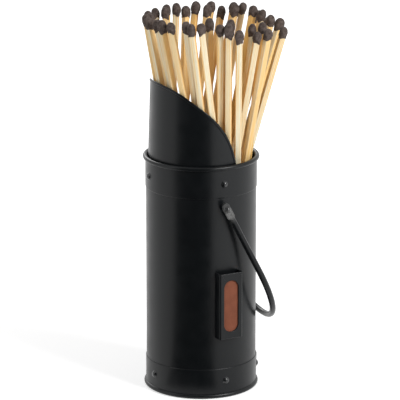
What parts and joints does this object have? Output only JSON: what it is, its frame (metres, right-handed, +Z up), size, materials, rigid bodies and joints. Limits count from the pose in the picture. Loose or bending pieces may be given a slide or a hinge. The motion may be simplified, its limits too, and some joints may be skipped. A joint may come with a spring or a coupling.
{
  "type": "match holder",
  "caption": "Fireside match holder: a black riveted steel tube with a scoop-shaped hood, a hinged bail handle and a front striker pocket, filled with long wooden matches that lift out.",
  "frame": {"origin": "centre of the tube's foot on the surface it stands on", "axes": "+Z up along the tube's axis; -Y is the front with the striker; +X is the scoop's low side, where the bail hangs"},
  "size_m": [0.1019, 0.1022, 0.2798],
  "materials": {
    "black_steel": "satin black powder coat",
    "striker_paper": "matte abrasive on card",
    "backing_board": "plain dark board",
    "match_wood": "bare pale wood"
  },
  "bodies": {
    "holder": {"body_tube": "black_steel", "base_pan": "black_steel", "top_band": "black_steel", "bottom_band": "black_steel", "scoop_hood": "black_steel", "top_band_rivet_front": "black_steel", "top_band_rivet_right": "black_steel", "top_band_rivet_rear": "black_steel", "top_band_rivet_left": "black_steel", "bottom_band_rivet_front": "black_steel", "bottom_band_rivet_seam": "black_steel", "bottom_band_rivet_rear": "black_steel", "bottom_band_rivet_left": "black_steel", "pivot_rivet_front": "black_steel", "pivot_spacer_front": "black_steel", "pivot_rivet_rear": "black_steel", "pivot_spacer_rear": "black_steel", "striker_frame": "black_steel"},
    "bail": {"bail_handle": "black_steel"},
    "striker_insert": {"striker_card": "striker_paper", "striker_backing": "backing_board"},
    "match_01": {"match_01": "match_wood"},
    "match_02": {"match_02": "match_wood"},
    "match_03": {"match_03": "match_wood"},
    "match_04": {"match_04": "match_wood"},
    "match_05": {"match_05": "match_wood"},
    "match_06": {"match_06": "match_wood"},
    "match_07": {"match_07": "match_wood"},
    "match_08": {"match_08": "match_wood"},
    "match_09": {"match_09": "match_wood"},
    "match_10": {"match_10": "match_wood"},
    "match_11": {"match_11": "match_wood"},
    "match_12": {"match_12": "match_wood"},
    "match_13": {"match_13": "match_wood"},
    "match_14": {"match_14": "match_wood"},
    "match_15": {"match_15": "match_wood"},
    "match_16": {"match_16": "match_wood"},
    "match_17": {"match_17": "match_wood"},
    "match_18": {"match_18": "match_wood"},
    "match_19": {"match_19": "match_wood"},
    "match_20": {"match_20": "match_wood"},
    "match_21": {"match_21": "match_wood"},
    "match_22": {"match_22": "match_wood"},
    "match_23": {"match_23": "match_wood"},
    "match_24": {"match_24": "match_wood"},
    "match_25": {"match_25": "match_wood"},
    "match_26": {"match_26": "match_wood"},
    "match_27": {"match_27": "match_wood"},
    "match_28": {"match_28": "match_wood"},
    "match_29": {"match_29": "match_wood"},
    "match_30": {"match_30": "match_wood"},
    "match_31": {"match_31": "match_wood"},
    "match_32": {"match_32": "match_wood"},
    "match_33": {"match_33": "match_wood"},
    "match_34": {"match_34": "match_wood"},
    "match_35": {"match_35": "match_wood"},
    "match_36": {"match_36": "match_wood"},
    "match_37": {"match_37": "match_wood"},
    "match_38": {"match_38": "match_wood"},
    "match_39": {"match_39": "match_wood"}
  },
  "joints": [
    {"name": "bail_swing", "type": "hinge", "parent": "holder", "child": "bail", "pos_m": [0, 0, 0.143], "axis": [0, -1, 0], "range_deg": [-3.9, 118]},
    {"name": "card_lift", "type": "slide", "parent": "holder", "child": "striker_insert", "axis": [0, 0, 1], "range_m": [0, 0.022]},
    {"name": "match_01_draw", "type": "slide", "parent": "holder", "child": "match_01", "axis": [-0.0726, -0.1674, 0.9832], "range_m": [0, 0.24]},
    {"name": "match_02_draw", "type": "slide", "parent": "holder", "child": "match_02", "axis": [-0.0723, -0.1679, 0.9831], "range_m": [0, 0.24]},
    {"name": "match_03_draw", "type": "slide", "parent": "holder", "child": "match_03", "axis": [-0.0088, -0.1618, 0.9868], "range_m": [0, 0.24]},
    {"name": "match_04_draw", "type": "slide", "parent": "holder", "child": "match_04", "axis": [-0.0909, -0.2148, 0.9724], "range_m": [0, 0.24]},
    {"name": "match_05_draw", "type": "slide", "parent": "holder", "child": "match_05", "axis": [0.0007, -0.2076, 0.9782], "range_m": [0, 0.24]},
    {"name": "match_06_draw", "type": "slide", "parent": "holder", "child": "match_06", "axis": [-0.0082, -0.2224, 0.9749], "range_m": [0, 0.24]},
    {"name": "match_07_draw", "type": "slide", "parent": "holder", "child": "match_07", "axis": [0.0357, -0.274, 0.9611], "range_m": [0, 0.24]},
    {"name": "match_08_draw", "type": "slide", "parent": "holder", "child": "match_08", "axis": [0.0533, -0.2502, 0.9667], "range_m": [0, 0.24]},
    {"name": "match_09_draw", "type": "slide", "parent": "holder", "child": "match_09", "axis": [0.0942, -0.1791, 0.9793], "range_m": [0, 0.24]},
    {"name": "match_10_draw", "type": "slide", "parent": "holder", "child": "match_10", "axis": [0.165, -0.2452, 0.9553], "range_m": [0, 0.24]},
    {"name": "match_11_draw", "type": "slide", "parent": "holder", "child": "match_11", "axis": [0.2249, -0.1633, 0.9606], "range_m": [0, 0.24]},
    {"name": "match_12_draw", "type": "slide", "parent": "holder", "child": "match_12", "axis": [0.2709, -0.0359, 0.9619], "range_m": [0, 0.24]},
    {"name": "match_13_draw", "type": "slide", "parent": "holder", "child": "match_13", "axis": [0.235, 0.0097, 0.9719], "range_m": [0, 0.24]},
    {"name": "match_14_draw", "type": "slide", "parent": "holder", "child": "match_14", "axis": [0.292, 0.0414, 0.9555], "range_m": [0, 0.24]},
    {"name": "match_15_draw", "type": "slide", "parent": "holder", "child": "match_15", "axis": [0.2057, 0.011, 0.9786], "range_m": [0, 0.24]},
    {"name": "match_16_draw", "type": "slide", "parent": "holder", "child": "match_16", "axis": [0.2097, 0.0106, 0.9777], "range_m": [0, 0.24]},
    {"name": "match_17_draw", "type": "slide", "parent": "holder", "child": "match_17", "axis": [0.2081, 0.0086, 0.9781], "range_m": [0, 0.24]},
    {"name": "match_18_draw", "type": "slide", "parent": "holder", "child": "match_18", "axis": [0.207, 0.0112, 0.9783], "range_m": [0, 0.24]},
    {"name": "match_19_draw", "type": "slide", "parent": "holder", "child": "match_19", "axis": [0.1964, 0.082, 0.9771], "range_m": [0, 0.24]},
    {"name": "match_20_draw", "type": "slide", "parent": "holder", "child": "match_20", "axis": [0.2344, 0.1258, 0.964], "range_m": [0, 0.24]},
    {"name": "match_21_draw", "type": "slide", "parent": "holder", "child": "match_21", "axis": [0.1717, 0.1432, 0.9747], "range_m": [0, 0.24]},
    {"name": "match_22_draw", "type": "slide", "parent": "holder", "child": "match_22", "axis": [0.1667, 0.1127, 0.9795], "range_m": [0, 0.24]},
    {"name": "match_23_draw", "type": "slide", "parent": "holder", "child": "match_23", "axis": [0.1246, 0.2073, 0.9703], "range_m": [0, 0.24]},
    {"name": "match_24_draw", "type": "slide", "parent": "holder", "child": "match_24", "axis": [0.1187, 0.1631, 0.9794], "range_m": [0, 0.24]},
    {"name": "match_25_draw", "type": "slide", "parent": "holder", "child": "match_25", "axis": [0.0786, 0.1765, 0.9812], "range_m": [0, 0.24]},
    {"name": "match_26_draw", "type": "slide", "parent": "holder", "child": "match_26", "axis": [-0.0057, 0.1918, 0.9814], "range_m": [0, 0.24]},
    {"name": "match_27_draw", "type": "slide", "parent": "holder", "child": "match_27", "axis": [0.0162, 0.214, 0.9767], "range_m": [0, 0.24]},
    {"name": "match_28_draw", "type": "slide", "parent": "holder", "child": "match_28", "axis": [-0.0435, 0.2053, 0.9777], "range_m": [0, 0.24]},
    {"name": "match_29_draw", "type": "slide", "parent": "holder", "child": "match_29", "axis": [-0.1156, 0.1514, 0.9817], "range_m": [0, 0.24]},
    {"name": "match_30_draw", "type": "slide", "parent": "holder", "child": "match_30", "axis": [-0.1234, 0.164, 0.9787], "range_m": [0, 0.24]},
    {"name": "match_31_draw", "type": "slide", "parent": "holder", "child": "match_31", "axis": [-0.1423, 0.1389, 0.98], "range_m": [0, 0.24]},
    {"name": "match_32_draw", "type": "slide", "parent": "holder", "child": "match_32", "axis": [-0.1825, 0.0599, 0.9814], "range_m": [0, 0.24]},
    {"name": "match_33_draw", "type": "slide", "parent": "holder", "child": "match_33", "axis": [-0.1638, 0.0561, 0.9849], "range_m": [0, 0.24]},
    {"name": "match_34_draw", "type": "slide", "parent": "holder", "child": "match_34", "axis": [-0.1799, 0.0282, 0.9833], "range_m": [0, 0.24]},
    {"name": "match_35_draw", "type": "slide", "parent": "holder", "child": "match_35", "axis": [-0.149, -0.0625, 0.9869], "range_m": [0, 0.24]},
    {"name": "match_36_draw", "type": "slide", "parent": "holder", "child": "match_36", "axis": [-0.1526, -0.0567, 0.9867], "range_m": [0, 0.24]},
    {"name": "match_37_draw", "type": "slide", "parent": "holder", "child": "match_37", "axis": [-0.1594, -0.0663, 0.985], "range_m": [0, 0.24]},
    {"name": "match_38_draw", "type": "slide", "parent": "holder", "child": "match_38", "axis": [-0.0481, -0.1192, 0.9917], "range_m": [0, 0.24]},
    {"name": "match_39_draw", "type": "slide", "parent": "holder", "child": "match_39", "axis": [-0.0727, -0.1667, 0.9833], "range_m": [0, 0.24]}
  ]
}
